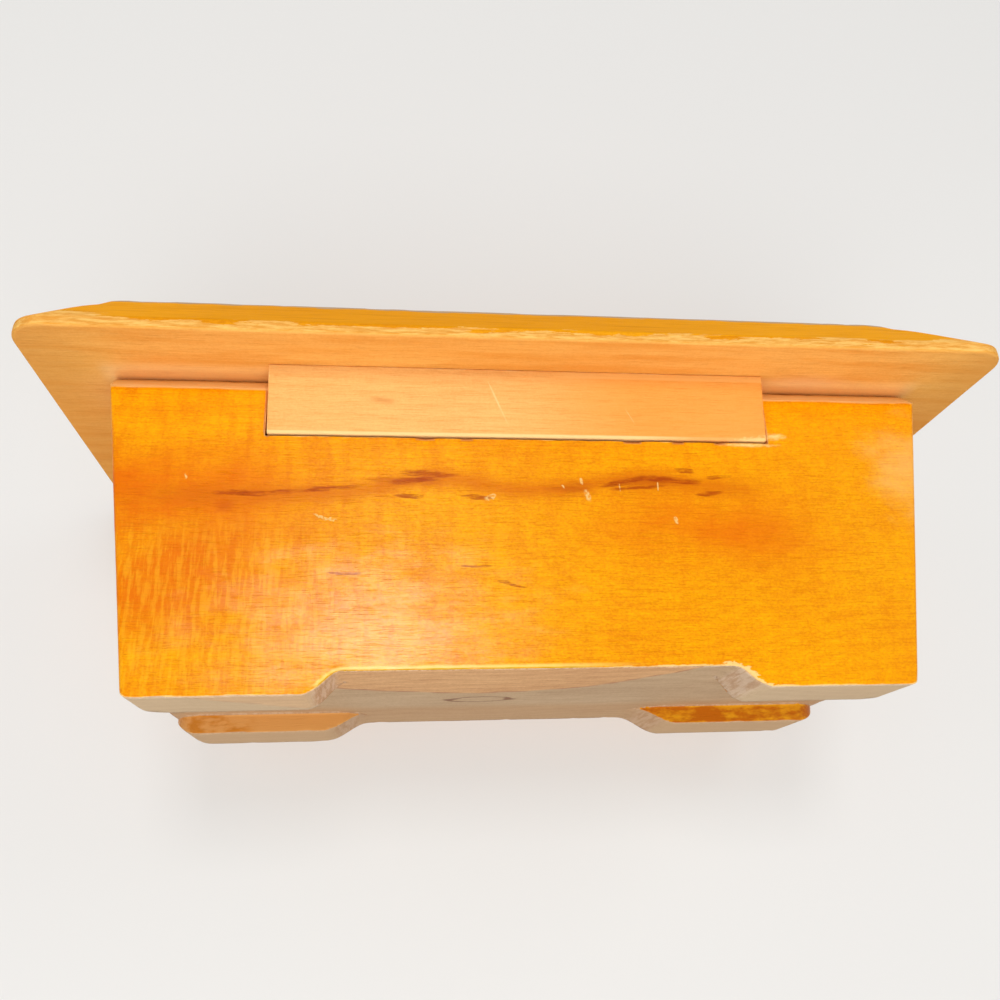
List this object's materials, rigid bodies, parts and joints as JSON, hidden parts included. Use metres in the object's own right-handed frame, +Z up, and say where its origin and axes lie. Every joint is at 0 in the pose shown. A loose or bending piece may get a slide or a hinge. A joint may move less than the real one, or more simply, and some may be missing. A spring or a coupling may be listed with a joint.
{
  "type": "carved wooden keepsake box",
  "caption": "Small wooden box hollowed from one block, on four low ogee-cut feet, with an overhanging bevelled lid on a wooden hinge block.",
  "frame": {"origin": "middle of the flat surface under the four feet, below the centre of the lid", "axes": "+Z up, +X along the length of the box, +Y towards the back, where the hinge is"},
  "size_m": [0.2314, 0.1054, 0.086],
  "materials": {
    "stained_wood": "amber stain under a thin satin varnish, worn at the edges",
    "lid_wood": "amber stain on top, unstained tan underside",
    "plain_wood": "unstained, smooth and slightly worn",
    "pin_steel": "plain drawn wire",
    "felt": "short-napped felt"
  },
  "bodies": {
    "box": {"body_block": "stained_wood", "hinge_pin_left": "pin_steel", "hinge_pin_right": "pin_steel", "pin_plug_left": "plain_wood", "pin_plug_right": "plain_wood", "floor_lining": "felt"},
    "lid": {"lid_board": "lid_wood", "hinge_block": "plain_wood", "hinge_dowel_1": "plain_wood", "hinge_dowel_2": "plain_wood", "hinge_dowel_3": "plain_wood"}
  },
  "joints": [
    {"name": "lid_hinge", "type": "hinge", "parent": "box", "child": "lid", "pos_m": [0, 0.0312, 0.066], "axis": [-1, 0, 0], "range_deg": [0, 90]}
  ]
}
